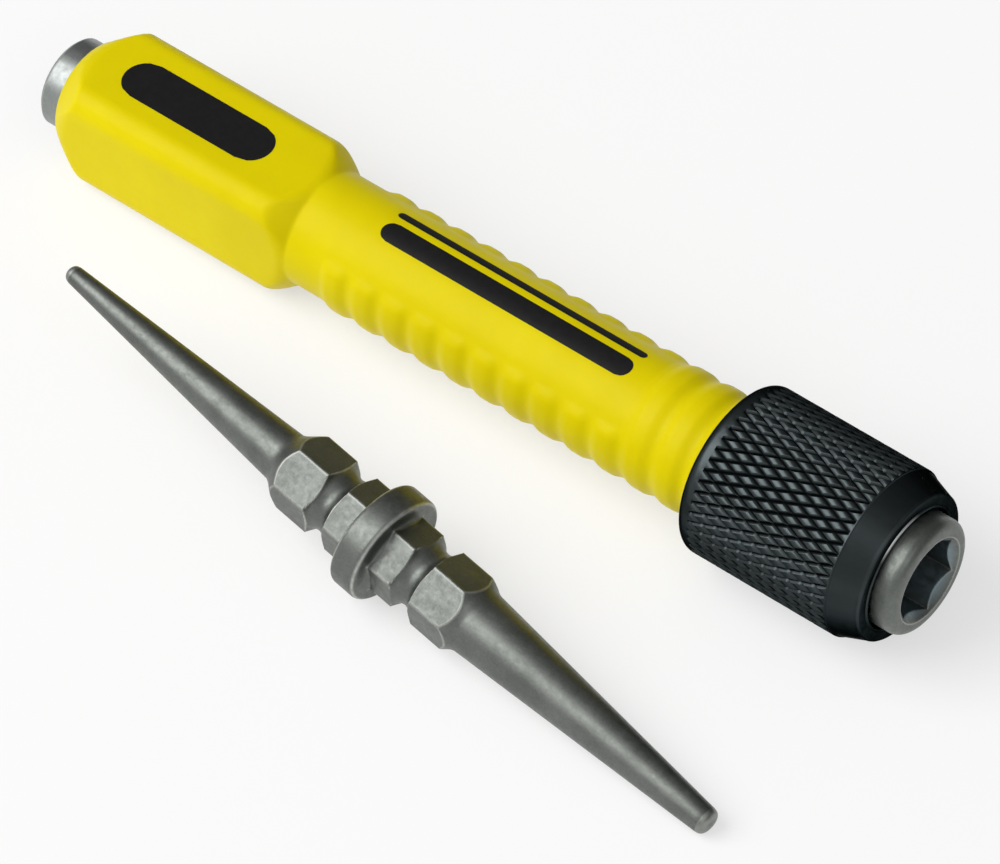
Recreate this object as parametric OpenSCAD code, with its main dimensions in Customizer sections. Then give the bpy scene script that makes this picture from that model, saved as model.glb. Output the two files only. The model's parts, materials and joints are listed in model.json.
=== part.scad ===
// Nail setter: a holder with a square striking head and a sprung bit collar,
// and the double-ended nail set that lies beside it.
// Lengths are in millimetres. X runs along the holder toward its socket, Z is up.
// The origin is on the table, under the middle of the whole set.
// The holder's own pieces are drawn along Z from the striking face, then laid down.

/* [Striking end] */
// Diameter of the steel bar that runs through the grip
bar_d = 8.1; // [7.4:0.1:8.6]
// Length of steel standing out behind the grip
strike_out = 2.2; // [1:0.1:4]
// Chamfer round the striking face
strike_edge = 0.35; // [0.1:0.05:0.8]

/* [Grip] */
// Width of the square head across its flats
head_w = 10.9; // [10.2:0.1:12]
// Radius of the head's four long corners
head_corner_r = 2; // [1.2:0.1:3]
// Length of the head from its back face to the end of its front shoulder
head_len = 25.9; // [20:0.2:32]
// Diameter of the plain neck in front of the head
neck_d = 10.5; // [10:0.1:10.8]
// Length of the plain neck
neck_len = 3.4; // [2:0.2:6]
// Number of finger ribs
rib_count = 12; // [8:1:14]
// Distance from one rib to the next
rib_pitch = 3.17; // [2.6:0.01:3.6]
// Height of a rib above the valley beside it
rib_h = 0.32; // [0.15:0.01:0.45]
// Width of the plain strip along the top and the underside, where the ribs stop
panel_w = 8.5; // [5:0.1:9.6]
// Turn of the plain strips round the grip, toward the side with the loose bit, in degrees
panel_turn = 7; // [-15:1:15]
// Number of ribs nearest the collar that run right round
full_ribs = 2; // [1:1:4]
// Plain band between the last rib and the collar
grip_end_len = 1.3; // [0.8:0.1:3]

/* [Collar] */
// Radial room for the spring between the barrel and the collar
spring_room = 1.5; // [1.3:0.05:1.9]
// Thickness of the collar round the spring
collar_wall = 0.94; // [0.8:0.02:1.6]
// Length of the collar
collar_len = 18.1; // [17.6:0.1:21]
// Length of the smooth taper at the collar's front
collar_taper_len = 2.8; // [2:0.1:4]
// Thickness of the collar's front rim
collar_rim = 0.75; // [0.4:0.05:0.9]
// Rounding of the collar's rolled back edge
collar_back_r = 1; // [0.5:0.1:1.3]
// Height of the knurled band above the smooth taper beside it
knurl_step = 0.1; // [0:0.02:0.2]
// Forward travel that lets the bit go
collar_travel = 3; // [2.4:0.1:3.4]

/* [Chuck] */
// Diameter of the barrel under the collar
barrel_d = 10.5; // [10.2:0.02:10.6]
// Steel nose standing out of the collar
nose_out = 2; // [0.8:0.1:2.4]
// Rounding of the nose's outer edge
nose_r = 0.9; // [0.3:0.05:0.9]
// Width of the socket across its flats
socket_af = 6.45; // [6.4:0.01:6.6]
// Depth of the hexagonal socket
socket_len = 9.5; // [9:0.1:11]
// Diameter of the round hole behind the socket
tip_bore_d = 6.2; // [6:0.05:6.3]
// How far a locked ball stands out of the barrel
ball_proud = 0.52; // [0.3:0.02:0.6]
// Wire of the collar spring
spring_wire = 0.8; // [0.5:0.05:0.9]
// Turns of the collar spring, half a turn lying flat at each end
spring_turns = 4.5; // [3.5:0.5:5]

/* [Nail set] */
// Width of the nail set's hexagons across their flats
hex_af = 6.35; // [6.25:0.01:6.38]
// Length of the nail set
bit_len = 73.7; // [60:0.5:76]
// Diameter of the small tip
small_tip_d = 1.6; // [0.8:0.1:2.4]
// Diameter of the large tip
large_tip_d = 2.4; // [1.6:0.1:3.2]
// Diameter at the root of the small taper
small_root_d = 4.8; // [4:0.1:5.6]
// Diameter at the root of the large taper
large_root_d = 5.9; // [5:0.1:5.9]
// Diameter of the middle flange
flange_d = 10; // [9.2:0.1:11]
// Width of the middle flange
flange_w = 2.7; // [2.4:0.1:3.6]
// Distance from the flange's middle to each locking groove
groove_x = 4.95; // [4.8:0.05:5.2]
// Diameter at the bottom of a locking groove
groove_d = 5.4; // [5.3:0.02:5.7]
// Radius of the groove's hollow
groove_r = 1.15; // [0.9:0.05:1.2]
// Distance from the flange's middle to the end of each hexagon
hex_end_x = 10.1; // [9.8:0.1:10.4]

/* [Layout] */
// Distance across the table from the holder's line to the nail set's flange
bit_away = 22.3; // [18:0.1:40]
// Position of the flange along the holder, from the holder's middle
bit_along = 7.1; // [-8:0.1:8]
// Turn of the nail set on the table
bit_yaw = -5.8; // [-12:0.1:12]
// Roll of the nail set about its own length
bit_roll = 9; // [0:1:59]

/* [Hidden] */
$fn = 96;
// Gap left between two faces that press together in the real thing
seat = 0.02;
// Running clearance of a sliding ring, on the radius
running = 0.07;

bar_r = bar_d / 2;
neck_r = neck_d / 2;
barrel_r = barrel_d / 2;
room_r = barrel_r + spring_room;
collar_r = room_r + collar_wall;
// A ball reaches from the bottom of the nail set's groove to just outside the barrel
ball_r = (barrel_r + ball_proud - groove_d / 2) / 2;

// Positions along the holder, from the striking face
grip_back = strike_out;
head_front = grip_back + head_len;
ribs_start = head_front + neck_len;
grip_front = ribs_start + rib_count * rib_pitch + grip_end_len;
collar_back = grip_front + 0.08;
collar_front = collar_back + collar_len;
nose = collar_front + nose_out;
ball_at = nose - (groove_x - flange_w / 2);
socket_floor = nose - socket_len;
bit_inside = bit_len / 2 - flange_w / 2;
rod_front = nose - bit_inside - 0.9;
spigot_len = 6;
// How far the rod's spigot stands out past the tip's bore, on the radius
spigot_step = 0.35;
rod_shoulder = rod_front - spigot_len;

// Radii of the grip
rib_crest_r = neck_r + rib_h + 0.03;
rib_valley_r = neck_r + 0.03;
head_half = head_w / 2;
head_corner_reach = (head_half - head_corner_r) * sqrt(2) + head_corner_r;
grip_back_r = bar_r + 0.5;

// The collar's inside: a lip, a spring room, a cone over the balls, a land and a narrower mouth
collar_lip = 1.3;
land_r = barrel_r + ball_proud + 0.08;
cone_slope = 0.2;
cone_front = ball_at + 0.2;
room_front = ball_at - ball_r - 0.45;
lip_r = barrel_r + 0.35;
ball_rest_r = groove_d / 2 + ball_r;
// The collar's mouth closes in on the barrel just in front of where the balls stand out
mouth_gap = 0.3;
mouth_back = ball_at + sqrt(ball_r * ball_r - pow(barrel_r - ball_rest_r, 2)) + 0.15;

// The pieces of the spring's stack
seat_back = collar_back + collar_lip + 0.03;
seat_len = 1.4;
clip_front = ball_at - ball_r - 0.85;
clip_len = 0.8;
washer_front = clip_front - clip_len;
washer_len = 0.7;
spring_back = seat_back + seat_len;
spring_front = washer_front - washer_len;
spring_mid_r = (barrel_r + room_r) / 2;

// The holder rests on the back edge of its head's flat and on the collar's rolled edge
dome_run = [0, 0.5, 1, 1.5, 2.3, 2.9, 3.5, 4.2];
dome_rise = [0, 0.14, 0.28, 0.43, 0.66, 0.82, 0.93, 1];
dome_steps = len(dome_run) - 1;
dome_reach = head_corner_reach - grip_back_r + 0.4;
function dome_r(k) = grip_back_r + dome_reach * dome_rise[k];
function dome_s(k) = grip_back + dome_run[k];
function dome_at(r, k = 0) =
    dome_r(k + 1) >= r || k == dome_steps - 1
        ? dome_s(k) + (r - dome_r(k)) / (dome_r(k + 1) - dome_r(k)) * (dome_s(k + 1) - dome_s(k))
        : dome_at(r, k + 1);
rest_s = dome_at(head_half);
roll_s = collar_back + collar_back_r;
roll_r = collar_r - collar_back_r;
rest_run = roll_s - rest_s;
rest_drop = roll_r - head_half;
tilt = atan(rest_drop / rest_run) + asin(collar_back_r / norm([rest_run, rest_drop]));
axis_z = head_half * cos(tilt) - rest_s * sin(tilt);
holder_low_x = -(bar_r - strike_edge) * sin(tilt);
holder_high_x = (nose - nose_r) * cos(tilt) + (barrel_r - nose_r) * sin(tilt) + nose_r;
holder_x = -(holder_low_x + holder_high_x) / 2;

// The nail set rests on its flange and its large tip
flange_r = flange_d / 2;
flange_edge = 0.45;
tip_edge = 0.3;
small_tip_r = small_tip_d / 2;
large_tip_r = large_tip_d / 2;
half_len = bit_len / 2;
lean_run = half_len - tip_edge - (flange_w / 2 - flange_edge);
lean_drop = (flange_r - flange_edge) - (large_tip_r - tip_edge);
bit_tilt = atan(lean_drop / lean_run) + asin((flange_edge - tip_edge) / norm([lean_run, lean_drop]));
bit_z = (half_len - tip_edge) * sin(bit_tilt) + (large_tip_r - tip_edge) * cos(bit_tilt) + tip_edge;
bit_side = cos(bit_tilt) * sin(abs(bit_yaw));
bit_reach_y = (flange_r - flange_edge) * sqrt(1 - bit_side * bit_side) + flange_edge
    + (flange_w / 2 - flange_edge) * bit_side;
holder_y = (bit_away + bit_reach_y - collar_r) / 2;
bit_y = holder_y - bit_away;

// Lays a piece drawn along Z down on the table, nose up by the resting tilt
module lay_holder() {
    translate([holder_x, holder_y, axis_z]) rotate([0, 90 - tilt, 0]) children();
}

// Lays the nail set down on its flange and large tip
module lay_bit() {
    translate([bit_along, bit_y, bit_z]) rotate([0, 0, bit_yaw]) rotate([0, 90 + bit_tilt, 0])
        rotate([0, 0, bit_roll]) children();
}

// A flat ring round the Z axis
module ring(inner_r, outer_r, from, to) {
    translate([0, 0, from]) difference() {
        cylinder(r = outer_r, h = to - from);
        translate([0, 0, -1]) cylinder(r = inner_r, h = to - from + 2);
    }
}

// A square with round corners
module round_square(half, r) {
    square([2 * half, 2 * (half - r)], center = true);
    square([2 * (half - r), 2 * half], center = true);
    for (x = [-1, 1], y = [-1, 1]) translate([x * (half - r), y * (half - r)]) circle(r = r);
}

// The square head, with a domed back and a rounded front shoulder
module head() {
    shoulder_r = [head_corner_reach + 0.3, head_corner_reach - 0.1, head_corner_reach - 0.28,
        head_corner_reach - 0.76, neck_r + 0.25, neck_r - 0.3];
    shoulder_back = [3, 2.2, 1.8, 1.1, 0.3, -0.1];
    intersection() {
        translate([0, 0, grip_back]) linear_extrude(head_len + 1) round_square(head_half, head_corner_r);
        rotate_extrude() polygon(concat(
            [[0, grip_back]],
            [for (k = [0 : dome_steps]) [dome_r(k), dome_s(k)]],
            [for (k = [0 : 5]) [shoulder_r[k], head_front - shoulder_back[k]]],
            [[0, head_front + 0.1]]));
    }
}

// The ribbed sleeve: a row of rounded beads with sharp valleys between them
module ribbed_sleeve() {
    bead_steps = 6;
    bead_r = (rib_pitch * rib_pitch / 4 + rib_h * rib_h) / (2 * rib_h);
    function bead(u) = rib_crest_r - bead_r + sqrt(bead_r * bead_r - pow((u - 0.5) * rib_pitch, 2));
    rotate_extrude() polygon(concat(
        [[0, grip_back + 6], [neck_r, grip_back + 6], [neck_r, ribs_start - 0.4]],
        [for (i = [0 : rib_count - 1], k = [0 : bead_steps - 1])
            [bead(k / bead_steps), ribs_start + (i + k / bead_steps) * rib_pitch]],
        [[rib_valley_r, ribs_start + rib_count * rib_pitch],
            [rib_crest_r, ribs_start + rib_count * rib_pitch + grip_end_len * 0.6],
            [rib_crest_r, grip_front], [0, grip_front]]));
}

// The ribbed sleeve with the plain strips left smooth along its top and underside
module gripping_sleeve() {
    strip_to = ribs_start + (rib_count - full_ribs) * rib_pitch;
    difference() {
        ribbed_sleeve();
        rotate([0, 0, panel_turn]) translate([-20, -panel_w / 2, ribs_start])
            cube([40, panel_w, strip_to - ribs_start]);
    }
    translate([0, 0, ribs_start - 1]) cylinder(r = rib_valley_r, h = strip_to - ribs_start + 1);
}

module grip() {
    color([0.88, 0.82, 0.06]) lay_holder() difference() {
        union() {
            head();
            gripping_sleeve();
        }
        translate([0, 0, -1]) cylinder(r = bar_r + seat, h = grip_front + 2);
    }
}

module striking_rod() {
    spigot_r = tip_bore_d / 2 + spigot_step - seat;
    color([0.62, 0.62, 0.6]) lay_holder() rotate_extrude() polygon([
        [0, 0], [bar_r - strike_edge, 0], [bar_r, strike_edge], [bar_r, rod_shoulder],
        [spigot_r, rod_shoulder], [spigot_r, rod_front], [0, rod_front]]);
}

// The chuck's steel tube: thin inside the grip, thick under the collar
module chuck_barrel() {
    mouth_r = socket_af / 2 + 0.72;
    color([0.6, 0.6, 0.58]) lay_holder() difference() {
        union() {
            translate([0, 0, rod_shoulder]) cylinder(r = bar_r, h = nose - 1 - rod_shoulder);
            rotate_extrude() {
                translate([0, grip_front]) square([barrel_r, nose - nose_r - grip_front]);
                translate([0, grip_front]) square([barrel_r - nose_r, nose - grip_front]);
                translate([barrel_r - nose_r, nose - nose_r]) circle(r = nose_r);
            }
        }
        translate([0, 0, rod_shoulder - 1]) cylinder(r = tip_bore_d / 2 + spigot_step, h = spigot_len + 1);
        translate([0, 0, rod_shoulder]) cylinder(r = tip_bore_d / 2, h = nose - rod_shoulder);
        translate([0, 0, socket_floor]) cylinder(r = socket_af / 2 / cos(30), h = socket_len + 1, $fn = 6);
        translate([0, 0, nose - mouth_r]) cylinder(r1 = 0, r2 = mouth_r + 0.5, h = mouth_r + 0.5);
        ring(barrel_r - 0.4, barrel_r + 1, washer_front, clip_front + 0.04);
        for (side = [-1, 1]) {
            translate([0, side * ball_rest_r, ball_at]) sphere(r = ball_r + 0.03);
            translate([0, side * ball_rest_r, ball_at]) rotate([-90 * side, 0, 0])
                cylinder(r = ball_r + 0.03, h = barrel_r);
        }
    }
}

// The collar's outside: a rolled back edge, the knurled band at its crests, and a smooth taper
module collar_outside() {
    taper_from = collar_len - collar_taper_len;
    rotate_extrude() {
        square([collar_r - collar_back_r, taper_from]);
        translate([0, collar_back_r]) square([collar_r, taper_from - collar_back_r]);
        translate([collar_r - collar_back_r, collar_back_r]) circle(r = collar_back_r);
        polygon([[0, taper_from], [collar_r - knurl_step, taper_from], [land_r + collar_rim + 0.15, collar_len - 0.3],
            [land_r + collar_rim - 0.1, collar_len], [0, collar_len]]);
    }
}

module knurled_collar() {
    cone_back_r = land_r + cone_slope * (cone_front - room_front);
    color([0.1, 0.1, 0.1]) lay_holder() difference() {
        translate([0, 0, collar_back]) collar_outside();
        translate([0, 0, collar_back - 1]) cylinder(r = lip_r, h = collar_lip + 2);
        translate([0, 0, collar_back + collar_lip]) cylinder(r = room_r, h = room_front - collar_back - collar_lip);
        translate([0, 0, room_front - 0.1])
            cylinder(r1 = cone_back_r + 0.02, r2 = land_r, h = cone_front - room_front + 0.1);
        translate([0, 0, cone_front - 0.1]) cylinder(r = land_r, h = mouth_back - cone_front + 0.1);
        translate([0, 0, mouth_back - 0.1]) cylinder(r = barrel_r + mouth_gap, h = nose - mouth_back + 1);
    }
}

module spring_seat() {
    color([0.55, 0.55, 0.53]) lay_holder()
        ring(barrel_r + running, room_r - running, seat_back, seat_back + seat_len);
}

// The spring's middle line, half a turn flat at each end
function spring_rise(turn) = max(0, min(turn - 0.5, spring_turns - 1)) / (spring_turns - 1);
spring_rings = 12 * spring_turns;
spring_sides = 8;
spring_height = spring_front - spring_back - spring_wire;
spring_gap = min(spring_height / (spring_turns - 1) * 0.5, spring_height) - spring_wire;
echo(str("least gap between the spring's turns: ", spring_gap, " mm"));

module collar_spring() {
    points = [for (i = [0 : spring_rings], k = [0 : spring_sides - 1])
        let (turn = i / 12, r = spring_mid_r + spring_wire / 2 * cos(360 * k / spring_sides))
        [r * cos(360 * turn), r * sin(360 * turn),
            spring_back + spring_wire / 2 + spring_height * spring_rise(turn)
            + spring_wire / 2 * sin(360 * k / spring_sides)]];
    sides = [for (i = [0 : spring_rings - 1], k = [0 : spring_sides - 1])
        let (a = i * spring_sides, b = (k + 1) % spring_sides)
        [a + k, a + b, a + spring_sides + b, a + spring_sides + k]];
    first = [for (k = [spring_sides - 1 : -1 : 0]) k];
    last = [for (k = [0 : spring_sides - 1]) spring_rings * spring_sides + k];
    color([0.5, 0.5, 0.5]) lay_holder() polyhedron(points, concat(sides, [first, last]));
}

module spring_washer() {
    color([0.55, 0.55, 0.53]) lay_holder()
        ring(barrel_r + seat, room_r - 0.25, spring_front, washer_front);
}

module snap_ring() {
    color([0.3, 0.3, 0.3]) lay_holder() difference() {
        ring(barrel_r - 0.4 + seat, barrel_r + 0.75, washer_front, clip_front);
        translate([0, -2, washer_front - 1]) cube([20, 4, 3]);
    }
}

module lock_ball(side) {
    color([0.75, 0.75, 0.75]) lay_holder()
        translate([0, side * ball_rest_r, ball_at]) sphere(r = ball_r);
}

module lock_ball_left() { lock_ball(1); }

module lock_ball_right() { lock_ball(-1); }

// One hexagon of the nail set, its ends turned to a cone
module bit_hexagons() {
    corner_r = hex_af / 2 / cos(30);
    chamfer = 0.55;
    intersection() {
        translate([0, 0, -hex_end_x]) cylinder(r = corner_r, h = 2 * hex_end_x, $fn = 6);
        rotate_extrude() polygon([[0, -hex_end_x], [corner_r - chamfer, -hex_end_x],
            [corner_r + 0.1, chamfer * 1.3 - hex_end_x], [corner_r + 0.1, hex_end_x - chamfer * 1.3],
            [corner_r - chamfer, hex_end_x], [0, hex_end_x]]);
    }
}

// The nail set is drawn along Z, its small tip at the bottom
module nail_set_bit() {
    color([0.44, 0.44, 0.42]) lay_bit() {
        difference() {
            bit_hexagons();
            for (side = [-1, 1]) rotate_extrude()
                translate([groove_d / 2 + groove_r, side * groove_x]) circle(r = groove_r);
        }
        rotate_extrude() {
            polygon([[0, -half_len], [small_tip_r - tip_edge, -half_len],
                [small_tip_r - tip_edge * 0.3, tip_edge * 0.3 - half_len],
                [small_tip_r, tip_edge - half_len], [small_root_d / 2, -hex_end_x + 0.2], [0, -hex_end_x + 0.2]]);
            polygon([[0, half_len], [large_tip_r - tip_edge, half_len],
                [large_tip_r - tip_edge * 0.3, half_len - tip_edge * 0.3],
                [large_tip_r, half_len - tip_edge], [large_root_d / 2, hex_end_x - 0.2], [0, hex_end_x - 0.2]]);
            translate([0, flange_edge - flange_w / 2]) square([flange_r, flange_w - 2 * flange_edge]);
            translate([0, -flange_w / 2]) square([flange_r - flange_edge, flange_w]);
            for (side = [-1, 1])
                translate([flange_r - flange_edge, side * (flange_w / 2 - flange_edge)]) circle(r = flange_edge);
            polygon([[0, -flange_w / 2 - 0.35], [hex_af / 2 + 0.1, -flange_w / 2 - 0.35],
                [hex_af / 2 + 0.75, -flange_w / 2 + 0.01], [hex_af / 2 + 0.75, flange_w / 2 - 0.01],
                [hex_af / 2 + 0.1, flange_w / 2 + 0.35], [0, flange_w / 2 + 0.35]]);
        }
    }
}

grip();
striking_rod();
chuck_barrel();
knurled_collar();
spring_seat();
collar_spring();
spring_washer();
snap_ring();
lock_ball_left();
lock_ball_right();
nail_set_bit();
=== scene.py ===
import json
import math

import bpy
import numpy as np
from mathutils import Matrix, Vector


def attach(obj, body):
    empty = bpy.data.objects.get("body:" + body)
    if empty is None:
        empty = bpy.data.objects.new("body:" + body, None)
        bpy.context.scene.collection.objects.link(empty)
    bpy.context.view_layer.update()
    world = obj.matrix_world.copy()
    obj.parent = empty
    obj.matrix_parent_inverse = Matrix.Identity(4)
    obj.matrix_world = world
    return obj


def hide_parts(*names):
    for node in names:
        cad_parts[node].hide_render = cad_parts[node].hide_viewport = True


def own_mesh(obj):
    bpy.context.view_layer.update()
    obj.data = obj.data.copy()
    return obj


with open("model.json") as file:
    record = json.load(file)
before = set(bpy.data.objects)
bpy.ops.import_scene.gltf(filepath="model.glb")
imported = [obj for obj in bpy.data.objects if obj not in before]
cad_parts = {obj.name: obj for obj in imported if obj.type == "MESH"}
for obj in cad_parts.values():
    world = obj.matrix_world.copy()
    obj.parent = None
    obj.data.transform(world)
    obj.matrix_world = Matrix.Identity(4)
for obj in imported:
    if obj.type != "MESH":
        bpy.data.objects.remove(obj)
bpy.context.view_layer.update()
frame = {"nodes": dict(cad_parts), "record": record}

MM = 0.001

# Sizes of the grip and its beads in millimetres, places count from the struck end of the rod
BAR_R = 4.05
GRIP_BACK = 2.2
GRIP_BACK_R = 4.55
DOME_LEN = 4.2
DOME_REACH = 2.73
HEAD_HALF = 5.45
HEAD_CORNER_R = 2.0
HEAD_FRONT = 28.1
NECK_R = 5.25
RIBS_START = 31.5
RIB_COUNT = 12
FULL_RIBS = 2
RIB_PITCH = 3.17
RIB_H = 0.32
RIB_BASE_R = 5.28
STRIP_HALF = 4.25
GRIP_FRONT = 70.84

# Sizes of the collar and its spring in millimetres
COLLAR_BACK = 70.92
COLLAR_FRONT = 89.02
COLLAR_R = 7.69
COLLAR_ROLL = 1.0
COLLAR_TAPER = 2.8
COLLAR_STEP = 0.1
COLLAR_LAND_R = 5.85
COLLAR_RIM = 0.75
COLLAR_LIP_R = 5.6
COLLAR_LIP = 1.3
COLLAR_ROOM_R = 6.75
COLLAR_ROOM_END = 85.435
COLLAR_CONE_END = 87.62
COLLAR_CONE_R = 6.287
MOUTH_BACK = 88.72
SPRING_BACK = 73.65
SPRING_FRONT = 83.535
SPRING_R = 6.0
SPRING_WIRE = 0.8
SPRING_TURNS = 4.5

# Sizes of the nail set in millimetres, places count from the middle of its flange
BIT_HALF = 36.85
HEX_AF = 6.35
HEX_END = 10.1
HEX_CHAMFER = 0.55
GROOVE_AT = 4.95
GROOVE_R = 1.15
GROOVE_FLOOR = 2.7
FLANGE_R = 5.0
FLANGE_HALF = 1.35
FLANGE_EDGE = 0.45
SMALL_TIP_R = 0.8
SMALL_ROOT_R = 2.4
LARGE_TIP_R = 1.2
LARGE_ROOT_R = 2.95

# Sizes in millimetres of what only the visual model has
SKIN_GAP = 0.02
RIB_DEPTH = 0.27
RIB_GROOVE = 1.2
STRIP_FADE = 0.75
COLLAR_EDGE = 0.3
MOUTH_R = 5.42
MOUTH_LIP = 0.2
KNURL_FROM = 72.35
KNURL_TO = 86.05
KNURL_DEPTH = 0.24
HEX_CORNER_R = 0.16
TAPER_IN = 0.2
TAPER_SHORT = 0.3
SMALL_TIP_EDGE = 0.62
LARGE_TIP_EDGE = 0.55
PRINT_THICK = 0.035
HEAD_BAR_AT = 14.6
HEAD_BAR_LEN = 15.6
HEAD_BAR_W = 4.2
STRIP_BAR_AT = 48.0
STRIP_BAR_LEN = 26.0
STRIP_BAR_W = 2.0
STRIP_LINE_W = 0.8
BORE_EDGE_R = 3.8
BORE_FADE = 0.5

# Turns in degrees
STRIP_TURN = 7.0
STRIP_BAR_TURN = 6.0
STRIP_LINE_TURN = -17.0
BIT_ROLL = 9.0
RUB_AND_HIGHLIGHT_AT = 195.0

# Counts of points, knurl lines and cells, and shares without a unit
GRIP_POINTS = 264
BIT_POINTS = 240
RIB_ROWS = 16
KNURL_COUNT = 48
KNURL_CELLS = 11
KNURL_SECOND = 0.75
# How strongly steel edges are painted brighter, as scuffed metal and as a painted highlight
EDGE_WEAR_AND_HIGHLIGHT = 9.0
WEAR_AND_HIGHLIGHT_GAIN = 1.9
FLOOR_WHITE = 0.6


# Places of the two items, taken from the record's mounts
mounts = {m["name"]: m for m in frame["record"]["mounts"]}


def place_along(point, axis):
    """Matrix with local Z along the axis and local X pointing down"""
    z = Vector(axis).normalized()
    x = (Vector((0, 0, -1)) + z * z.z).normalized()
    y = z.cross(x)
    turn = Matrix((x, y, z)).transposed().to_4x4()
    return Matrix.Translation(Vector(point)) @ turn


holder_place = place_along(mounts["striking_face"]["pos_m"], -Vector(mounts["striking_face"]["axis"]))
bit_place = place_along(mounts["bit_hexagon"]["pos_m"], mounts["bit_hexagon"]["axis"])


# Soft joins between two surfaces, k is the width of the join
def soft_min(a, b, k):
    h = np.clip(0.5 + 0.5 * (b - a) / k, 0, 1)
    return b * (1 - h) + a * h - k * h * (1 - h)


def soft_max(a, b, k):
    return -soft_min(-a, -b, k)


def smooth_step(x):
    x = np.clip(x, 0, 1)
    return x * x * (3 - 2 * x)


def crease(a, b, k):
    """One where two surfaces meet, none away from there"""
    h = np.clip(0.5 + 0.5 * (b - a) / k, 0, 1)
    return 4 * h * (1 - h)


def angles(count, start=0.0):
    return start + np.arange(count) * 2 * math.pi / count


def rounded_polygon(theta, sides, apothem, corner_r, first_flat):
    """Polar radius of a regular polygon with round corners"""
    half = math.pi / sides
    t = np.abs((theta - first_flat + half) % (2 * half) - half)
    flat = apothem / np.cos(t)
    centre = (apothem - corner_r) / math.cos(half)
    inside = np.maximum(corner_r ** 2 - (centre * np.sin(half - t)) ** 2, 0)
    arc = centre * np.cos(half - t) + np.sqrt(inside)
    return np.where(apothem * np.tan(t) <= (apothem - corner_r) * math.tan(half), flat, arc)


# Meshes
def mesh_object(name, points, faces, place, values=None):
    """A smooth mesh from points in millimetres, with a number at each point for each label in values"""
    mesh = bpy.data.meshes.new(name)
    turn = np.array(place.to_3x3())
    spots = np.asarray(points) * MM @ turn.T + np.array(place.translation)
    mesh.from_pydata(spots.tolist(), [], faces)
    mesh.polygons.foreach_set("use_smooth", [True] * len(mesh.polygons))
    for label, numbers in (values or {}).items():
        layer = mesh.attributes.new(label, "FLOAT", "POINT")
        layer.data.foreach_set("value", np.asarray(numbers, dtype=np.float32))
    mesh.update()
    obj = bpy.data.objects.new(name, mesh)
    bpy.context.scene.collection.objects.link(obj)
    return obj


def turned(name, rows, theta, place, closed, labels=()):
    """A skin through rows of (place along, radius at each angle, value at each angle...)"""
    count = len(theta)
    blocks = []
    numbers = {label: [] for label in labels}
    for row in rows:
        radius = np.broadcast_to(row[1], (count,))
        along = np.broadcast_to(row[0], (count,))
        blocks.append(np.stack([radius * np.cos(theta), radius * np.sin(theta), along], 1))
        for k, label in enumerate(labels):
            numbers[label].append(np.broadcast_to(row[2 + k], (count,)))
    points = np.concatenate(blocks)
    faces = []
    steps = len(rows) if closed else len(rows) - 1
    for i in range(steps):
        low = i * count
        high = (i + 1) % len(rows) * count
        for j in range(count):
            n = (j + 1) % count
            faces.append((low + j, low + n, high + n, high + j))
    values = {label: np.concatenate(v) for label, v in numbers.items()}
    if not closed:
        first = len(points)
        ends = [[0, 0, rows[0][0]], [0, 0, rows[-1][0]]]
        points = np.concatenate([points, ends])
        last_row = (len(rows) - 1) * count
        for j in range(count):
            n = (j + 1) % count
            faces.append((first, n, j))
            faces.append((first + 1, last_row + j, last_row + n))
        values = {label: np.concatenate([v, [0.0, 0.0]]) for label, v in values.items()}
    return mesh_object(name, points, faces, place, values)


def arc_rows(centre_s, centre_r, radius, start, end, steps):
    """Rows round a quarter edge, angles in degrees from straight out toward the front"""
    turn = np.radians(np.linspace(start, end, steps))
    return [(centre_s + radius * math.sin(t), centre_r + radius * math.cos(t)) for t in turn]


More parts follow.
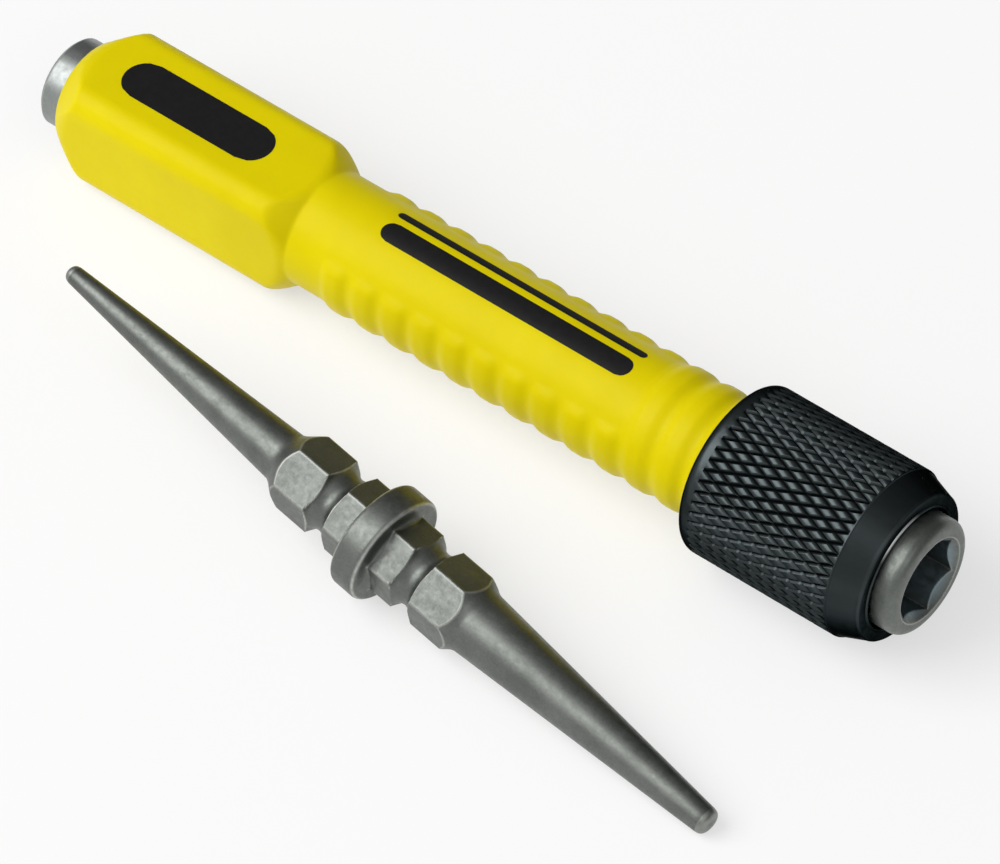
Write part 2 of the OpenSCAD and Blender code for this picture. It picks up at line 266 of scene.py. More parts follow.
# The grip: square head with a domed back, plain neck, beads on both sides, two full beads
def make_grip():
    theta = angles(GRIP_POINTS)
    square = rounded_polygon(theta, 4, HEAD_HALF, HEAD_CORNER_R, 0.0)
    flatness = 1 - smooth_step((square - HEAD_HALF) / (square.max() - HEAD_HALF))
    neck = np.full_like(theta, NECK_R)
    inner_r = BAR_R + SKIN_GAP
    rows = [(GRIP_BACK + 0.25, inner_r)]
    rows += [(GRIP_BACK + SKIN_GAP, BAR_R + 0.12)]
    rows += [(GRIP_BACK, GRIP_BACK_R - 0.18)]
    dome_end = 1.3
    shoulder_len = 5

    def head_radius(s):
        """The square, cut by the dome at its back and by the shoulder at its front"""
        radius = square
        x = (s - GRIP_BACK) / DOME_LEN
        if x < dome_end:
            rise = 1.22 * x - 0.06 * max(0.0, 2 * x - 1) ** 2
            dome = np.full_like(square, GRIP_BACK_R + DOME_REACH * rise)
            radius = soft_min(radius, dome, 0.14 + 0.5 * flatness)
        f = s - HEAD_FRONT
        if f > -shoulder_len:
            shoulder = np.full_like(square, NECK_R - 0.13 - 0.95 * f - 0.085 * f * f)
            radius = soft_min(radius, shoulder, 0.25 + 0.4 * flatness)
            radius = soft_max(radius, neck, 0.14)
        return radius

    dome_span = DOME_LEN * 1.25
    edge_width = 0.35
    for d in np.linspace(0, dome_span, 44):
        rounding = 0.16 * max(0.0, 1 - d / edge_width) ** 2
        rows.append((GRIP_BACK + SKIN_GAP + d * 0.999, head_radius(GRIP_BACK + d) - rounding))
    for s in np.linspace(GRIP_BACK + dome_span + 0.8, HEAD_FRONT - shoulder_len, 14):
        rows.append((s, square))
    for s in np.linspace(HEAD_FRONT - 4.6, HEAD_FRONT + 0.8, 50):
        rows.append((s, head_radius(s)))
    for s in np.linspace(HEAD_FRONT + 1.2, RIBS_START - 0.3, 6):
        rows.append((s, neck))

    across = np.abs(np.sin(theta - math.radians(STRIP_TURN))) * RIB_BASE_R
    beside_strip = smooth_step((across - STRIP_HALF + 0.3) / STRIP_FADE)
    all_round = np.ones_like(theta)
    for rib in range(RIB_COUNT):
        spread = beside_strip if rib < RIB_COUNT - FULL_RIBS else all_round
        for v in np.arange(RIB_ROWS) / RIB_ROWS:
            off = min(v, 1 - v) * RIB_PITCH / RIB_GROOVE
            deep = RIB_H if rib + v < 0.5 else RIB_DEPTH
            height = RIB_H - deep * (0.5 + 0.5 * math.cos(math.pi * min(off, 1.0)))
            rows.append((RIBS_START + (rib + v) * RIB_PITCH, RIB_BASE_R + height * spread))
    last = RIBS_START + RIB_COUNT * RIB_PITCH
    for d in np.linspace(0, 1, 6):
        rows.append((last + 0.7 * d, RIB_BASE_R + RIB_H - RIB_DEPTH * math.cos(d * math.pi / 2)))

    front_edge = 0.25
    inner_middle = 40.0
    rows += arc_rows(GRIP_FRONT - front_edge, RIB_BASE_R + RIB_H - front_edge, front_edge, 0, 90, 6)
    rows += [(GRIP_FRONT, BAR_R + 0.3), (GRIP_FRONT - 0.1, inner_r), (inner_middle, inner_r)]
    obj = turned("grip_skin", rows, theta, holder_place, True)
    obj.data.set_sharp_from_angle(angle=math.radians(30))
    return obj


# The collar: rolled back edge, diamond knurl, smooth taper, raised lip at the mouth, stepped inside
def make_collar():
    # Lines of one knurl cell, as shares of its width, and how deep each lies
    shares = [0.0, 0.17, 0.24, 0.76, 0.83]
    depths = [1.0, 0.17, 0.0, 0.0, 0.17]
    per_cell = len(shares)
    around = KNURL_COUNT * per_cell
    along = KNURL_CELLS * per_cell
    pitch = 2 * math.pi / KNURL_COUNT
    taper_from = COLLAR_FRONT - COLLAR_TAPER
    face_at = COLLAR_FRONT - MOUTH_LIP * 0.6
    taper_end = face_at - COLLAR_EDGE
    rim_r = COLLAR_LAND_R + COLLAR_RIM

    # How light the oxide is on each surface: 0 in a groove, 1 on a crest
    inside = 0.0
    taper_tone = 0.35
    rim_tone = 0.75
    roll_tone = 0.8
    # Above 1 the lip of the mouth turns to bright steel along its top: scuffed metal and a painted highlight
    mouth_rub_and_highlight = 1.25

    def line(index):
        """Place of a knurl line in pitches, and how deep the knurl is there"""
        return index // per_cell + shares[index % per_cell], depths[index % per_cell] * KNURL_DEPTH

    back = [(COLLAR_BACK + 0.15, COLLAR_LIP_R, inside)]
    back += [(COLLAR_BACK, COLLAR_LIP_R + 0.15, 0.3)]
    back += [(COLLAR_BACK, COLLAR_R - COLLAR_ROLL - 0.1, roll_tone)]
    roll = arc_rows(COLLAR_BACK + COLLAR_ROLL, COLLAR_R - COLLAR_ROLL, COLLAR_ROLL, -90, 0, 12)
    back += [(s, r, roll_tone) for s, r in roll]
    back += [(KNURL_FROM - 0.08, COLLAR_R, roll_tone)]

    front = [(KNURL_TO + 0.06, COLLAR_R, roll_tone)]
    front += [(taper_from - 0.02, COLLAR_R - 0.01, 0.6)]
    front += [(taper_from + 0.02, COLLAR_R - COLLAR_STEP, 0.2)]
    for d in np.linspace(0.06, 1, 12):
        radius = COLLAR_R - COLLAR_STEP + (rim_r + 0.15 - COLLAR_R + COLLAR_STEP) * d
        front.append((taper_from + (taper_end - taper_from) * d, radius, taper_tone))
    for d in (15, 35, 60, 90):
        turn = math.radians(d)
        place = taper_end + COLLAR_EDGE * math.sin(turn)
        front.append((place, rim_r - 0.1 + 0.25 * math.cos(turn), rim_tone))
    front += [(face_at, MOUTH_R + MOUTH_LIP * 2.1, rim_tone)]
    lip = arc_rows(COLLAR_FRONT - MOUTH_LIP, MOUTH_R + MOUTH_LIP, MOUTH_LIP, 24, 150, 10)
    front += [(s, r, rim_tone, mouth_rub_and_highlight) for s, r in lip]
    front += [(COLLAR_FRONT - MOUTH_LIP, MOUTH_R, 0.3)]
    front += [(MOUTH_BACK, MOUTH_R, inside), (MOUTH_BACK, COLLAR_LAND_R, inside)]
    front += [(COLLAR_CONE_END, COLLAR_LAND_R, inside), (COLLAR_ROOM_END, COLLAR_CONE_R, inside)]
    front += [(COLLAR_ROOM_END, COLLAR_ROOM_R, inside)]
    front += [(COLLAR_BACK + COLLAR_LIP, COLLAR_ROOM_R, inside)]
    front += [(COLLAR_BACK + COLLAR_LIP, COLLAR_LIP_R, inside)]

    points = []
    crest = []
    faces = []

    def ring(row, turn):
        """Adds one ring and returns the indices of its points"""
        first = len(points)
        for a in range(around):
            angle = (line(a)[0] + turn) * pitch
            points.append((row[1] * math.cos(angle), row[1] * math.sin(angle), row[0]))
            # Only the lip's top is brightened: a painted highlight along with the scuffing
            rubbed_and_lit = max(0.0, math.cos(angle - math.radians(RUB_AND_HIGHLIGHT_AT))) ** 8
            crest.append(row[2] + (row[3] * rubbed_and_lit if len(row) > 3 else 0.0))
        return list(range(first, first + around))

    def join(low, high):
        for a in range(around):
            n = (a + 1) % around
            faces.append((low[a], low[n], high[n], high[a]))

    back_rings = [ring(row, 0.0) for row in back]
    first = len(points)
    heights = []
    for a in range(around):
        for d in range(along + 1):
            p, p_deep = line(a)
            q, q_deep = line(a - d)
            angle = (p + q) / 2 * pitch
            deep = max(p_deep, q_deep * KNURL_SECOND)
            radius = COLLAR_R - deep
            place = KNURL_FROM + (p - q) / KNURL_CELLS * (KNURL_TO - KNURL_FROM)
            points.append((radius * math.cos(angle), radius * math.sin(angle), place))
            crest.append(1 - deep / KNURL_DEPTH)
            heights.append(-deep)
    front_rings = [ring(row, -KNURL_CELLS / 2) for row in front]

    def spot(a, d):
        return first + (a % around) * (along + 1) + d

    for a in range(around):
        for d in range(along + 1):
            here = spot(a, d)
            across = spot(a + 1, d)
            if d == 0:
                faces.append((here, across, spot(a + 1, 1)))
            elif d == along:
                faces.append((here, spot(a, d - 1), across))
            else:
                left = spot(a, d - 1)
                right = spot(a + 1, d + 1)
                tall = {k: heights[k - first] for k in (here, across, left, right)}
                if max(tall[here], tall[across]) >= max(tall[left], tall[right]):
                    faces += [(here, left, across), (here, across, right)]
                else:
                    faces += [(here, left, right), (left, across, right)]
    rings = back_rings + [[spot(a, 0) for a in range(around)]]
    for low, high in zip(rings, rings[1:]):
        join(low, high)
    rings = [[spot(a, along) for a in range(around)]] + front_rings + [back_rings[0]]
    for low, high in zip(rings, rings[1:]):
        join(low, high)
    obj = mesh_object("knurled_collar_skin", points, faces, holder_place, {"crest": crest})
    obj.data.set_sharp_from_angle(angle=math.radians(28))
    return obj


# The nail set: two tapers, two pairs of hexagons with grooves, one flange
def make_bit():
    theta = angles(BIT_POINTS, math.radians(BIT_ROLL))
    flat_r = HEX_AF / 2
    corner_r = flat_r / math.cos(math.pi / 6)
    hexagon = rounded_polygon(theta, 6, flat_r, HEX_CORNER_R, math.radians(BIT_ROLL + 30))
    corner = np.clip((hexagon - flat_r) / (corner_r - flat_r), 0, 1) ** 14
    cone_slope = 1.3
    wear_fade = 0.12

    def taper(z, root, tip):
        d = (z - (HEX_END - TAPER_IN)) / (BIT_HALF - TAPER_SHORT - HEX_END + TAPER_IN)
        return root + (tip - root) * d

    def body(z):
        """Radius of the hexagons, their grooves and the cone at their ends, and how much brighter their edges
        are painted: scuffed steel and a painted highlight
        """
        cone = np.full_like(theta, corner_r - HEX_CHAMFER + (HEX_END - z) / cone_slope)
        radius = soft_min(hexagon, cone, 0.06)
        flat = smooth_step((cone - hexagon) / wear_fade)
        wear_and_highlight = np.maximum(corner * flat, 0.5 * crease(hexagon, cone, 0.1))
        d = abs(z - GROOVE_AT)
        if d < GROOVE_R + 0.6:
            inside = max(GROOVE_R ** 2 - d * d, 0.0)
            floor = GROOVE_FLOOR + GROOVE_R - math.sqrt(inside) if d < GROOVE_R else 9.0
            cut = np.full_like(theta, floor)
            rim = 0.8 * crease(hexagon, cut, 0.12)
            wear_and_highlight = np.maximum(wear_and_highlight * smooth_step((cut - hexagon) / wear_fade), rim)
            radius = soft_min(radius, cut, 0.05)
        return radius, wear_and_highlight

    def half(side, root, tip, edge):
        """Rows from the flange's middle out to one tip"""
        edge_from = FLANGE_HALF - FLANGE_EDGE
        out = [(0.0, FLANGE_R, 0.0), (side * edge_from * 0.6, FLANGE_R, 0.0)]
        # The flange's edge gets a thin bright line in the middle of its rounding: scuffed steel and a painted
        # highlight
        for t in np.radians(np.linspace(0, 90, 9)):
            z = edge_from + FLANGE_EDGE * math.sin(t)
            radius = FLANGE_R - FLANGE_EDGE + FLANGE_EDGE * math.cos(t)
            out.append((side * z, radius, 0.7 * math.sin(2 * t) ** 6))
        for r in np.linspace(FLANGE_R - FLANGE_EDGE - 0.15, flat_r + 0.85, 3):
            out.append((side * FLANGE_HALF, np.maximum(r, hexagon + 0.45), 0.0))
        for d in np.linspace(0.02, 0.5, 8):
            bow = 1 - math.sqrt(max(0.0, 1 - (1 - min(d / 0.45, 1.0)) ** 2))
            cove = np.full_like(theta, flat_r + 0.75 * bow + 0.05)
            out.append((side * (FLANGE_HALF + d), soft_max(hexagon, cove, 0.12), corner * 0.6))
        places = np.concatenate([np.linspace(FLANGE_HALF + 0.6, GROOVE_AT - GROOVE_R - 0.05, 8),
                                 np.linspace(GROOVE_AT - GROOVE_R, GROOVE_AT + GROOVE_R, 40),
                                 np.linspace(GROOVE_AT + GROOVE_R + 0.05, HEX_END - 1.0, 10),
                                 np.linspace(HEX_END - 0.96, HEX_END + 0.9, 34)])
        for z in places:
            radius, wear_and_highlight = body(z)
            stem = np.full_like(theta, taper(z, root, tip))
            mixed = soft_max(radius, stem, 0.35) if z > GROOVE_AT + 3 else radius
            out.append((side * z, mixed, wear_and_highlight * smooth_step((radius - stem + 0.1) / 0.3)))
        for z in np.linspace(HEX_END + 1.2, BIT_HALF - edge - 0.05, 60):
            out.append((side * z, np.full_like(theta, taper(z, root, tip)), 0.0))
        for t in np.radians(np.linspace(0, 90, 9)):
            z = BIT_HALF - edge + edge * math.sin(t)
            out.append((side * z, tip - edge + edge * math.cos(t), 0.25))
        out.append((side * BIT_HALF, (tip - edge) * 0.5, 0.15))
        return out

    small = half(-1, SMALL_ROOT_R, SMALL_TIP_R, SMALL_TIP_EDGE)
    large = half(1, LARGE_ROOT_R, LARGE_TIP_R, LARGE_TIP_EDGE)
    rows = small[::-1] + large[1:]
    return turned("nail_set_skin", rows, theta, bit_place, False, ["wear_and_highlight"])


# The spring: round wire with closed ends
def make_spring():
    around = 14
    steps = 360
    low = SPRING_BACK + SPRING_WIRE / 2
    high = SPRING_FRONT - SPRING_WIRE / 2
    even_share = 0.65
    points = []
    for i in range(steps + 1):
        turn = SPRING_TURNS * i / steps
        eased = smooth_step((turn - 0.45) / (SPRING_TURNS - 0.9))
        even = np.clip((turn - 0.6) / (SPRING_TURNS - 1.2), 0, 1)
        rise = eased * (1 - even_share) + even_share * even
        a = 2 * math.pi * turn
        out = Vector((math.cos(a), math.sin(a), 0))
        middle = out * SPRING_R + Vector((0, 0, low + (high - low) * float(rise)))
        for j in range(around):
            b = 2 * math.pi * j / around
            points.append(middle + (out * math.cos(b) + Vector((0, 0, math.sin(b)))) * SPRING_WIRE / 2)
    faces = []
    for i in range(steps):
        for j in range(around):
            n = (j + 1) % around
            faces.append((i * around + j, (i + 1) * around + j, (i + 1) * around + n, i * around + n))
    faces.append(tuple(range(around)))
    faces.append(tuple(steps * around + j for j in reversed(range(around))))
    return mesh_object("collar_spring_coil", points, faces, holder_place)


# Thin printed patches: a plain bar on the head, a plain bar and a thin line on the strip
def patch(name, outline, height):
    """A closed thin patch: outline maps (u, v) in 0 to 1 to a point, height lifts it"""
    cols, rows = 48, 14
    points = []
    for lift in (0.0, height):
        for i in range(cols + 1):
            for j in range(rows + 1):
                points.append(outline(i / cols, j / rows, lift))
    size = (cols + 1) * (rows + 1)
    faces = []
    for i in range(cols):
        for j in range(rows):
            a = i * (rows + 1) + j
            b = a + rows + 1
            faces.append((a, a + 1, b + 1, b))
            faces.append((size + a, size + b, size + b + 1, size + a + 1))
    edge = [i * (rows + 1) for i in range(cols + 1)]
    edge += [cols * (rows + 1) + j for j in range(1, rows + 1)]
    edge += [i * (rows + 1) + rows for i in range(cols - 1, -1, -1)]
    edge += [j for j in range(rows - 1, 0, -1)]
    for k, a in enumerate(edge):
        b = edge[(k + 1) % len(edge)]
        faces.append((a, b, size + b, size + a))
    obj = mesh_object(name, points, faces, holder_place)
    obj.data.set_sharp_from_angle(angle=math.radians(40))
    return obj


def rounded_bar(u, v, length, width):
    """Point of a bar with round ends, u along and v across"""
    half = width / 2
    y = (v - 0.5) * width
    reach = length / 2 - half + math.sqrt(max(half * half - y * y, 0.0))
    return (2 * u - 1) * reach, y


def head_bar(u, v, lift):
    x, y = rounded_bar(u, v, HEAD_BAR_LEN, HEAD_BAR_W)
    return Vector((-HEAD_HALF + SKIN_GAP - lift, y, HEAD_BAR_AT + x))


def strip_bar(middle, angle, length, width):
    """Outline of a bar that follows the round of the strip"""
    def point(u, v, lift):
        x, y = rounded_bar(u, v, length, width)
        a = math.pi + math.radians(angle) + y / RIB_BASE_R
        r = RIB_BASE_R - SKIN_GAP + lift
        return Vector((r * math.cos(a), r * math.sin(a), middle + x))
    return point


# Materials
def linear(code):
    """Linear colour of an sRGB hex code"""
    out = []
    for k in (0, 2, 4):
        c = int(code[k:k + 2], 16) / 255
        out.append(c / 12.92 if c <= 0.04045 else ((c + 0.055) / 1.055) ** 2.4)
    return (*out, 1.0)


def grey(v):
    return (v, v, v, 1.0)


def add(tree, kind, inputs=None, out=0, stops=(), **settings):
    """Adds a node with its settings, inputs and ramp stops, and returns the output that is asked for"""
    node = tree.nodes.new(kind)
    for key, value in settings.items():
        setattr(node, key, value)
    for key, value in (inputs or {}).items():
        if isinstance(value, bpy.types.NodeSocket):
            tree.links.new(value, node.inputs[key])
        else:
            node.inputs[key].default_value = value
    if stops:
        points = node.color_ramp.elements
        points[0].position, points[0].color = stops[0]
        points[1].position, points[1].color = stops[-1]
        for place, colour in stops[1:-1]:
            points.new(place).color = colour
    return node.outputs[out]


def new_material(name, inputs):
    """A material, its node tree, its shader and the object's own coordinates"""
    mat = bpy.data.materials.new(name)
    mat.use_nodes = True
    tree = mat.node_tree
    shader = tree.nodes["Principled BSDF"]
    for key, value in inputs.items():
        shader.inputs[key].default_value = value
    coords = add(tree, "ShaderNodeTexCoord", out="Object")
    return mat, tree, shader, coords


def link_shader(tree, shader, sockets):
    for key, value in sockets.items():
        tree.links.new(value, shader.inputs[key])


def per_metre(size_mm):
    """Noise scale that gives features of about that size"""
    return 1000.0 / size_mm


# Moulded satin plastic: soft broad gloss, faint cloudy colour, light that bleeds a little below the surface,
# and a fine spark-eroded grain from the mould
def moulded_plastic(name, dark, light, roughness):
    mat, tree, shader, coords = new_material(name, {
        "Metallic": 0.0, "IOR": 1.49, "Specular IOR Level": 0.08, "Subsurface Weight": 0.25,
        "Subsurface Radius": (1.0, 0.8, 0.1), "Subsurface Scale": 0.8 * MM})
    clouds = add(tree, "ShaderNodeTexNoise", {"Vector": coords, "Scale": per_metre(7.0), "Detail": 3.0})
    colour = add(tree, "ShaderNodeValToRGB", {"Fac": clouds},
                 stops=[(0.3, linear(dark)), (0.7, linear(light))])
    sheen = add(tree, "ShaderNodeTexNoise", {"Vector": coords, "Scale": per_metre(1.6), "Detail": 3.0})
    rough = add(tree, "ShaderNodeValToRGB", {"Fac": sheen},
                stops=[(0.3, grey(roughness - 0.05)), (0.7, grey(roughness + 0.07))])
    grain = add(tree, "ShaderNodeTexNoise", {"Vector": coords, "Scale": per_metre(0.22), "Detail": 2.0})
    normal = add(tree, "ShaderNodeBump", {"Height": grain, "Distance": 0.012 * MM, "Strength": 0.25})
    link_shader(tree, shader, {"Base Color": colour, "Roughness": rough, "Normal": normal})
    return mat


# Steel left plain: soft stains, fine flecks and an uneven sheen. Turned pieces add fine rings, drawn wider
# than the real feed marks so that they show, and edges are painted brighter: scuffed steel and a painted
# highlight along them. A socket's bore is painted lighter and bluish, painted light for the light inside it.
def satin_steel(name, dark, light, roughness, wear_and_highlight_name=None, edge_mm=0.0, ring_mm=0.0, ring_axis=None, bore=None):
    mat, tree, shader, coords = new_material(name, {"Metallic": 1.0})
    bright_metal_and_highlight = linear("C8CAC4")
    bore_painted_light = linear("7F8E94")
    stains = add(tree, "ShaderNodeTexNoise", {"Vector": coords, "Scale": per_metre(2.6), "Detail": 3.0})
    flecks = add(tree, "ShaderNodeTexNoise", {"Vector": coords, "Scale": per_metre(0.2), "Detail": 3.0})
    tone = add(tree, "ShaderNodeMix", {"Factor": 0.4, "A": stains, "B": flecks}, out="Result")
    colour = add(tree, "ShaderNodeValToRGB", {"Fac": tone},
                 stops=[(0.35, linear(dark)), (0.65, linear(light))])
    sheen = add(tree, "ShaderNodeTexNoise", {"Vector": coords, "Scale": per_metre(0.5), "Detail": 3.0})
    rough = add(tree, "ShaderNodeValToRGB", {"Fac": sheen},
                stops=[(0.3, grey(roughness - 0.07)), (0.7, grey(roughness + 0.07))])
    grain = add(tree, "ShaderNodeTexNoise", {"Vector": coords, "Scale": per_metre(0.06), "Detail": 2.0})
    if ring_mm:
        along = add(tree, "ShaderNodeVectorMath", {0: coords, 1: ring_axis}, out="Value",
                    operation="DOT_PRODUCT")
        per_ring = 2 * math.pi / (ring_mm * MM)
        phase = add(tree, "ShaderNodeMath", {0: along, 1: per_ring}, operation="MULTIPLY")
        rings = add(tree, "ShaderNodeMath", {0: phase}, operation="SINE")
        grain = add(tree, "ShaderNodeMath", {0: rings, 1: 0.35, 2: grain}, operation="MULTIPLY_ADD")
    relief = {"Height": grain, "Distance": 0.004 * MM, "Strength": 0.3}
    wear_and_highlight = None
    if wear_and_highlight_name:
        wear_and_highlight = add(tree, "ShaderNodeAttribute", out="Fac", attribute_name=wear_and_highlight_name)
    # Edges found by the Bevel node are painted brighter: scuffed steel and a painted highlight
    if edge_mm:
        relief["Normal"] = add(tree, "ShaderNodeBevel", {"Radius": edge_mm * MM}, samples=6)
        facing = add(tree, "ShaderNodeNewGeometry", out="Normal")
        level = add(tree, "ShaderNodeVectorMath", {0: relief["Normal"], 1: facing}, out="Value",
                    operation="DOT_PRODUCT")
        wear_and_highlight = add(tree, "ShaderNodeMath", {0: level, 1: -EDGE_WEAR_AND_HIGHLIGHT, 2: EDGE_WEAR_AND_HIGHLIGHT}, operation="MULTIPLY_ADD")
    # Steel turns brighter where the edge value is high: scuffed metal and a painted highlight
    if wear_and_highlight is not None:
        patchy = add(tree, "ShaderNodeMath", {0: wear_and_highlight, 1: sheen}, operation="MULTIPLY")
        share = add(tree, "ShaderNodeMath", {0: patchy, 1: WEAR_AND_HIGHLIGHT_GAIN}, operation="MULTIPLY", use_clamp=True)
        colour = add(tree, "ShaderNodeMix", {"Factor": share, "A": colour, "B": bright_metal_and_highlight}, out="Result",
                     data_type="RGBA")
    # Inside the bore the steel turns lighter and bluish: painted light for the light on the bore's walls
    if bore:
        arm = add(tree, "ShaderNodeVectorMath", {0: coords, 1: bore}, operation="SUBTRACT")
        lever = add(tree, "ShaderNodeVectorMath", {0: arm, 1: ring_axis}, operation="CROSS_PRODUCT")
        reach = add(tree, "ShaderNodeVectorMath", {0: lever}, out="Value", operation="LENGTH")
        edge = {"From Min": BORE_EDGE_R * MM, "From Max": (BORE_EDGE_R - BORE_FADE) * MM}
        inside = add(tree, "ShaderNodeMapRange", {"Value": reach, **edge}, out="Result")
        colour = add(tree, "ShaderNodeMix", {"Factor": inside, "A": colour, "B": bore_painted_light}, out="Result",
                     data_type="RGBA")
    normal = add(tree, "ShaderNodeBump", relief)
    link_shader(tree, shader, {"Base Color": colour, "Roughness": rough, "Normal": normal})
    return mat


# Black oxide on steel: near black with a cold gloss, darkest in the knurl's grooves, a little lighter on its
# crests, and bright steel along the top of the collar's mouth, partly scuffed through and partly a painted
# highlight
def black_oxide(name):
    mat, tree, shader, coords = new_material(name, {"Metallic": 1.0, "Specular Tint": linear("3A3E3E")})
    crest = add(tree, "ShaderNodeAttribute", out="Fac", attribute_name="crest")
    half_crest = add(tree, "ShaderNodeMath", {0: crest, 1: 0.5}, operation="MULTIPLY")
    # Crest values above 1 reach bright steel: the mouth's scuffed line and its painted highlight
    colour = add(tree, "ShaderNodeValToRGB", {"Fac": half_crest},
                 stops=[(0.0, linear("2C3132")), (0.5, linear("404647")), (0.62, linear("414748")),
                        (1.0, linear("E0E4E4"))])
    sheen = add(tree, "ShaderNodeTexNoise", {"Vector": coords, "Scale": per_metre(0.8), "Detail": 3.0})
    rough = add(tree, "ShaderNodeValToRGB", {"Fac": sheen}, stops=[(0.3, grey(0.29)), (0.7, grey(0.39))])
    grain = add(tree, "ShaderNodeTexNoise", {"Vector": coords, "Scale": per_metre(0.1), "Detail": 2.0})
    normal = add(tree, "ShaderNodeBump", {"Height": grain, "Distance": 0.006 * MM, "Strength": 0.35})
    link_shader(tree, shader, {"Base Color": colour, "Roughness": rough, "Normal": normal})
    return mat


# Printing ink: a thin even film, slightly patchy where it went on thinner
def printed_ink(name, thin, thick):
    mat, tree, shader, coords = new_material(name, {
        "Metallic": 0.0, "IOR": 1.48, "Specular IOR Level": 0.25, "Roughness": 0.42})
    film = add(tree, "ShaderNodeTexNoise", {"Vector": coords, "Scale": per_metre(0.6), "Detail": 3.0})
    colour = add(tree, "ShaderNodeValToRGB", {"Fac": film},
                 stops=[(0.3, linear(thin)), (0.75, linear(thick))])
    grain = add(tree, "ShaderNodeTexNoise", {"Vector": coords, "Scale": per_metre(0.25), "Detail": 2.0})
    normal = add(tree, "ShaderNodeBump", {"Height": grain, "Distance": 0.008 * MM, "Strength": 0.25})
    link_shader(tree, shader, {"Base Color": colour, "Normal": normal})
    return mat


holder_axis = holder_place.to_3x3() @ Vector((0, 0, 1))
bit_axis = bit_place.to_3x3() @ Vector((0, 0, 1))
barrel_origin = frame["nodes"]["chuck_barrel"].matrix_world.inverted() @ holder_place.translation
yellow = moulded_plastic("moulded_yellow_plastic", "D9C700", "DFCE00", 0.38)
# The rod has a lighter copy of the barrel's tool steel: painted light
rod_steel_painted_lighter = satin_steel("tool_steel_painted_lighter", "8A8E8C", "9A9E9C", 0.42, edge_mm=0.22, ring_mm=0.15,
                        ring_axis=holder_axis)
tool_steel = satin_steel("satin_turned_tool_steel", "656965", "757975", 0.44, edge_mm=0.22, ring_mm=0.15,
                         ring_axis=holder_axis, bore=barrel_origin)
bit_steel = satin_steel("satin_hardened_bit_steel", "656864", "767975", 0.45, wear_and_highlight_name="wear_and_highlight", ring_mm=0.12,
                        ring_axis=bit_axis)
black = black_oxide("black_oxide_knurled_steel")
plain_steel = satin_steel("plain_bright_steel", "8B8C8B", "9B9C9A", 0.3)
wire_steel = satin_steel("drawn_spring_wire", "6D6E70", "7C7D7E", 0.3)
ball_steel = satin_steel("polished_ball_steel", "C4C5C6", "D0D1D1", 0.1)
black_ink = printed_ink("black_printed_ink", "151516", "0E0E0F")


# Pieces
def dress(obj, mat):
    obj.data.materials.clear()
    obj.data.materials.append(mat)


def put(obj, body, mat, slot, *nodes):
    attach(obj, body)
    dress(obj, mat)
    if nodes:
        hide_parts(*nodes)
    return obj


put(make_grip(), "holder", yellow, "grip_plastic", "grip")
put(make_collar(), "collar", black, "black_oxide_steel", "knurled_collar")
put(make_bit(), "bit", bit_steel, "bit_steel", "nail_set_bit")
spring = put(make_spring(), "holder", wire_steel, "spring_wire", "collar_spring")

strip_black = strip_bar(STRIP_BAR_AT, STRIP_BAR_TURN, STRIP_BAR_LEN, STRIP_BAR_W)
strip_line = strip_bar(STRIP_BAR_AT, STRIP_LINE_TURN, STRIP_BAR_LEN, STRIP_LINE_W)
for name, outline in (("head_print_bar", head_bar), ("strip_print_black", strip_black),
                      ("strip_print_line", strip_line)):
    put(patch(name, outline, PRINT_THICK), "holder", black_ink, "grip_plastic")

for node, mat, slot in (
        ("striking_rod", rod_steel_painted_lighter, "tool_steel"), ("chuck_barrel", tool_steel, "tool_steel"),
        ("spring_seat", plain_steel, "plain_steel"), ("spring_washer", plain_steel, "plain_steel"),
        ("snap_ring", wire_steel, "spring_wire"), ("lock_ball_left", ball_steel, "ball_steel"),
        ("lock_ball_right", ball_steel, "ball_steel")):
    dress(frame["nodes"][node], mat)

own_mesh(spring)


# Pale paper floor: matt, and whiter where the camera or a reflection sees it, while the shadow stays
def make_floor():
    mesh = bpy.data.meshes.new("studio_floor")
    half = 3.0
    corners = [(-half, -half, 0), (half, -half, 0), (half, half, 0), (-half, half, 0)]
    mesh.from_pydata(corners, [], [(0, 1, 2, 3)])
    floor = bpy.data.objects.new("studio_floor", mesh)
    bpy.context.scene.collection.objects.link(floor)
    floor.location.z = -0.00002
    mat, tree, shader, _ = new_material("pale_studio_floor", {
        "Base Color": linear("F7F7F7"), "Roughness": 0.85, "Specular IOR Level": 0.1})
    rays = add(tree, "ShaderNodeLightPath").node.outputs
    seen = add(tree, "ShaderNodeMath", {0: rays["Is Camera Ray"], 1: rays["Is Glossy Ray"]},
               operation="MAXIMUM")
    seen = add(tree, "ShaderNodeMath", {0: seen, 1: rays["Is Transmission Ray"]}, operation="MAXIMUM")
    share = add(tree, "ShaderNodeMath", {0: seen, 1: FLOOR_WHITE}, operation="MULTIPLY")
    white = add(tree, "ShaderNodeEmission", {"Color": grey(1.0), "Strength": 1.0})
    surface = add(tree, "ShaderNodeMixShader", {"Fac": share, 1: shader.outputs["BSDF"], 2: white})
    tree.links.new(surface, tree.nodes["Material Output"].inputs["Surface"])
    mesh.materials.append(mat)


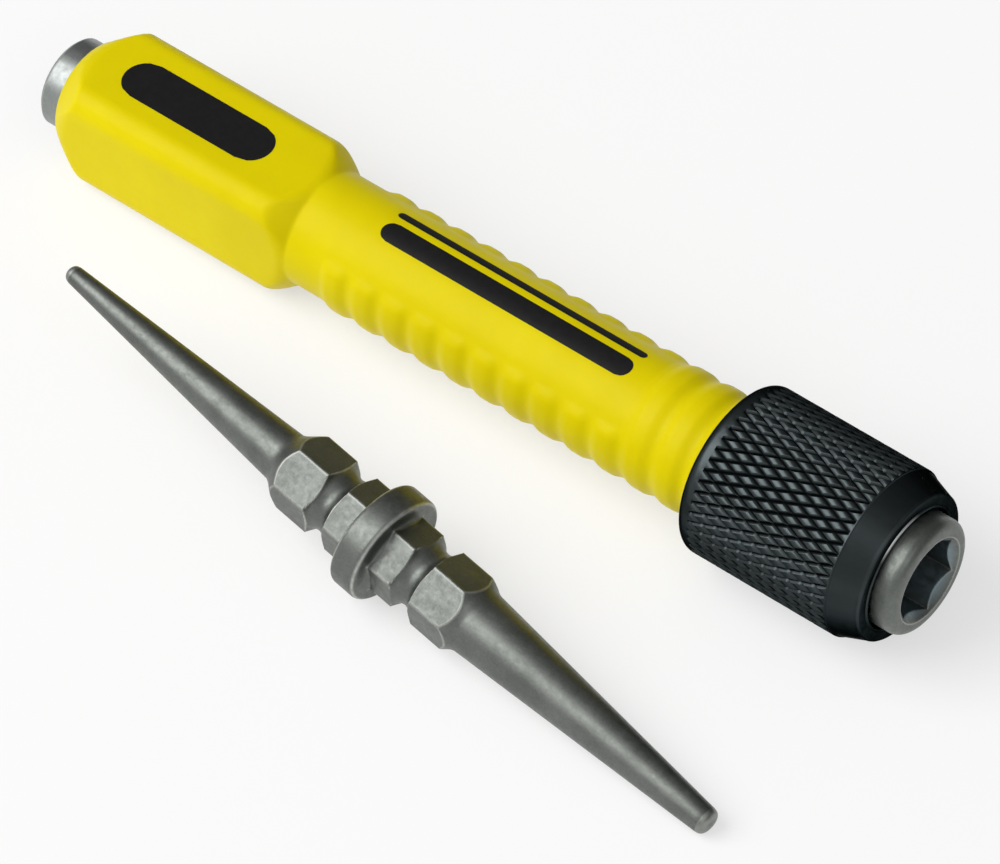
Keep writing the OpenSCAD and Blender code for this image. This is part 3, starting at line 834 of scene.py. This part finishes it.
# Soft room light, brighter in front of the set than behind it
def make_world():
    world = bpy.data.worlds.new("studio")
    bpy.context.scene.world = world
    world.use_nodes = True
    tree = world.node_tree
    direction = add(tree, "ShaderNodeTexCoord", out="Generated")
    depth = add(tree, "ShaderNodeSeparateXYZ", {"Vector": direction}, out="Y")
    toward_back = add(tree, "ShaderNodeMath", {0: depth, 1: 0.5, 2: 0.5}, operation="MULTIPLY_ADD")
    colour = add(tree, "ShaderNodeValToRGB", {"Fac": toward_back},
                 stops=[(0.0, grey(0.66)), (0.5, grey(0.4)), (1.0, grey(0.1))])
    back = tree.nodes["Background"]
    tree.links.new(colour, back.inputs["Color"])
    back.inputs["Strength"].default_value = 1.0


def make_light(name, azimuth, elevation, distance, size, power):
    """A soft square lamp, azimuth as in the views: 0 is in front, 90 to the right"""
    a, e = math.radians(azimuth), math.radians(elevation)
    way = Vector((math.sin(a) * math.cos(e), -math.cos(a) * math.cos(e), math.sin(e)))
    lamp = bpy.data.lights.new(name, "AREA")
    lamp.shape = "SQUARE"
    lamp.size = size
    lamp.energy = power
    obj = bpy.data.objects.new(name, lamp)
    bpy.context.scene.collection.objects.link(obj)
    obj.location = way * distance
    obj.rotation_mode = "QUATERNION"
    obj.rotation_quaternion = (-way).to_track_quat("-Z", "Y")
    obj.visible_camera = False


# Camera at the photograph's viewing angle
def make_camera():
    data = bpy.data.cameras.new("photo_camera")
    data.sensor_width = 36.0
    data.lens = 314.67
    data.clip_start = 0.01
    data.clip_end = 20.0
    cam = bpy.data.objects.new("photo_camera", data)
    bpy.context.scene.collection.objects.link(cam)
    place = Vector((0.295458, -0.354058, 0.553038))
    aim = Vector((0.00709, 0.002538, 0.005))
    roll = math.radians(-0.162)
    cam.location = place
    cam.rotation_mode = "QUATERNION"
    look = (aim - place).to_track_quat("-Z", "Y")
    cam.rotation_quaternion = look @ Matrix.Rotation(roll, 3, "Z").to_quaternion()
    bpy.context.scene.camera = cam


make_floor()
make_world()
make_light("key_softbox", azimuth=-45.0, elevation=48.0, distance=1.1, size=0.9, power=9.6)
make_light("fill_softbox", azimuth=60.0, elevation=50.0, distance=1.2, size=0.8, power=1.6)
make_camera()
bpy.context.scene.view_settings.view_transform = "Standard"
